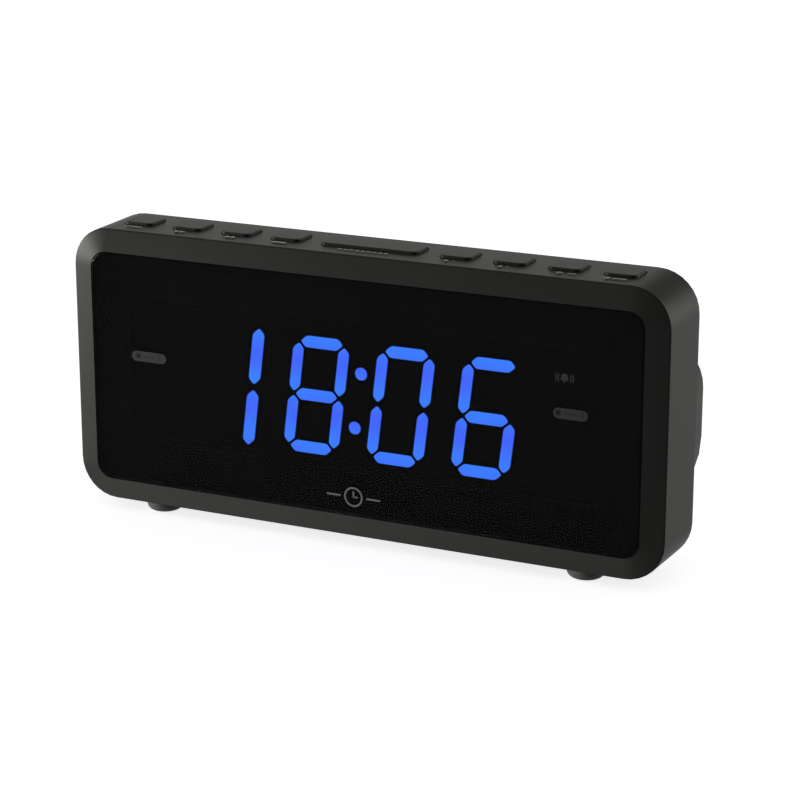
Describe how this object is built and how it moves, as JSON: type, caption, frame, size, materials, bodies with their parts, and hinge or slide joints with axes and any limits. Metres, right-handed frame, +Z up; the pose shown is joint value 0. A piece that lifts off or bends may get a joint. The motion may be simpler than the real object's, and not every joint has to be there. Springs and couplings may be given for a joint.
{
  "type": "clock radio",
  "caption": "Table clock radio: a shallow rounded case with a dark display window, a row of press keys along the top and a speaker pod behind.",
  "frame": {"origin": "on the table surface the feet stand on, under the middle of the bounding box", "axes": "the display faces -Y, +X is to the right of a viewer who faces the display, +Z is up"},
  "size_m": [0.1888, 0.042, 0.088],
  "materials": {
    "case_plastic": "fine matte moulded texture",
    "key_plastic": "satin moulding",
    "lens_plastic": "polished, smoked black",
    "black_plastic": "matte",
    "white_plastic": "satin",
    "board_laminate": "solder mask",
    "chip_resin": "moulded resin",
    "rubber": "matte",
    "steel": "plated",
    "ferrite": "sintered",
    "cone_paper": "coated paper",
    "cell_jacket": "printed sleeve",
    "capacitor_sleeve": "vinyl sleeve",
    "ribbon_vinyl": "vinyl"
  },
  "bodies": {
    "case": {"front_housing": "case_plastic", "rear_cover": "case_plastic", "display_lens": "lens_plastic", "digit_reflector": "black_plastic", "display_board": "board_laminate", "main_board": "board_laminate", "controller_chip": "chip_resin", "tuner_chip": "chip_resin", "filter_capacitor": "capacitor_sleeve", "board_connector": "black_plastic", "key_board": "board_laminate", "key_ribbon": "ribbon_vinyl", "speaker_frame": "steel", "speaker_magnet": "ferrite", "dc_jack": "black_plastic", "antenna_grommet": "rubber", "battery_cell_1": "cell_jacket", "battery_cell_2": "cell_jacket", "battery_contact_left": "steel", "battery_contact_right": "steel", "board_screw_1": "steel", "board_screw_2": "steel", "cover_screw_1": "steel", "cover_screw_2": "steel", "cover_screw_3": "steel", "cover_screw_4": "steel", "switch_1": "black_plastic", "switch_2": "black_plastic", "switch_3": "black_plastic", "switch_4": "black_plastic", "switch_5": "black_plastic", "switch_6": "black_plastic", "switch_7": "black_plastic", "switch_8": "black_plastic", "switch_9": "black_plastic", "foot_front_left": "rubber", "foot_front_right": "rubber", "foot_rear_left": "rubber", "foot_rear_right": "rubber"},
    "key_1": {"key_1": "key_plastic", "plunger_1": "white_plastic"},
    "key_2": {"key_2": "key_plastic", "plunger_2": "white_plastic"},
    "key_3": {"key_3": "key_plastic", "plunger_3": "white_plastic"},
    "key_4": {"key_4": "key_plastic", "plunger_4": "white_plastic"},
    "key_5": {"key_5": "key_plastic", "plunger_5": "white_plastic"},
    "key_6": {"key_6": "key_plastic", "plunger_6": "white_plastic"},
    "key_7": {"key_7": "key_plastic", "plunger_7": "white_plastic"},
    "key_8": {"key_8": "key_plastic", "plunger_8": "white_plastic"},
    "key_9": {"key_9": "key_plastic", "plunger_9": "white_plastic"},
    "battery_door": {"battery_door": "case_plastic"},
    "speaker_cone": {"speaker_cone": "cone_paper"}
  },
  "joints": [
    {"name": "key_1_press", "type": "slide", "parent": "case", "child": "key_1", "axis": [0, 0, -1], "range_m": [0, 0.0005], "stiffness_N_per_m": 3200},
    {"name": "key_2_press", "type": "slide", "parent": "case", "child": "key_2", "axis": [0, 0, -1], "range_m": [0, 0.0005], "stiffness_N_per_m": 3200},
    {"name": "key_3_press", "type": "slide", "parent": "case", "child": "key_3", "axis": [0, 0, -1], "range_m": [0, 0.0005], "stiffness_N_per_m": 3200},
    {"name": "key_4_press", "type": "slide", "parent": "case", "child": "key_4", "axis": [0, 0, -1], "range_m": [0, 0.0005], "stiffness_N_per_m": 3200},
    {"name": "key_5_press", "type": "slide", "parent": "case", "child": "key_5", "axis": [0, 0, -1], "range_m": [0, 0.0005], "stiffness_N_per_m": 3200},
    {"name": "key_6_press", "type": "slide", "parent": "case", "child": "key_6", "axis": [0, 0, -1], "range_m": [0, 0.0005], "stiffness_N_per_m": 3200},
    {"name": "key_7_press", "type": "slide", "parent": "case", "child": "key_7", "axis": [0, 0, -1], "range_m": [0, 0.0005], "stiffness_N_per_m": 3200},
    {"name": "key_8_press", "type": "slide", "parent": "case", "child": "key_8", "axis": [0, 0, -1], "range_m": [0, 0.0005], "stiffness_N_per_m": 3200},
    {"name": "key_9_press", "type": "slide", "parent": "case", "child": "key_9", "axis": [0, 0, -1], "range_m": [0, 0.0005], "stiffness_N_per_m": 3200},
    {"name": "battery_door_tilt", "type": "hinge", "parent": "case", "child": "battery_door", "pos_m": [-0.042, 0.0201, 0.0222], "axis": [-1, 0, 0], "range_deg": [0, 95]},
    {"name": "speaker_cone_travel", "type": "slide", "parent": "case", "child": "speaker_cone", "axis": [0, 1, 0], "range_m": [-0.0003, 0.0003], "stiffness_N_per_m": 2000}
  ]
}
